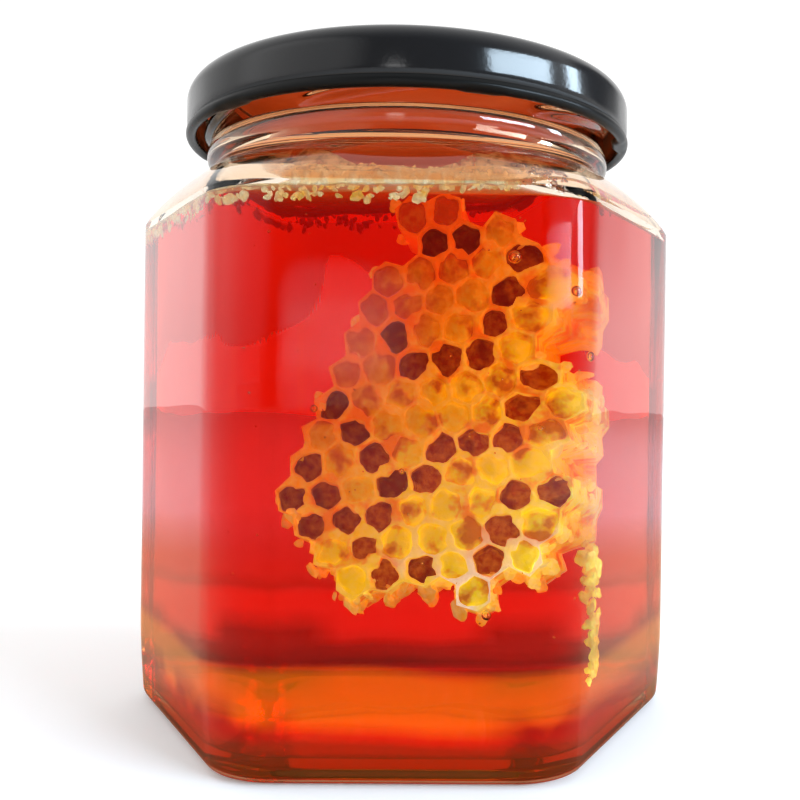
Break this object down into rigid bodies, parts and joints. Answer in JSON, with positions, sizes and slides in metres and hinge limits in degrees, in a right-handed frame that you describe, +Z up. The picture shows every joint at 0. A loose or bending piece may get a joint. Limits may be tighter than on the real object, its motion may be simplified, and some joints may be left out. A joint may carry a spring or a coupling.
{
  "type": "honey jar",
  "caption": "Hexagonal clear glass jar of red amber honey with a piece of honeycomb in it and wax foam on top, shut with a black twist-off lid.",
  "frame": {"origin": "centre of the base, on the surface the jar stands on", "axes": "+Z up along the jar's axis, -Y out of the flat side shown in front, +X out of the corner at its right"},
  "size_m": [0.1014, 0.0918, 0.116],
  "materials": {
    "clear_glass": "clear polished glass",
    "amber_honey": "clear deep red amber honey",
    "comb_wax": "waxy, wet with honey",
    "wax_foam": "dull cream crumbs of wax",
    "black_lacquer": "satin black lacquer"
  },
  "bodies": {
    "root": {"glass_jar": "clear_glass", "honey": "amber_honey", "honeycomb": "comb_wax", "wax_foam": "wax_foam", "lid": "black_lacquer"}
  },
  "joints": []
}
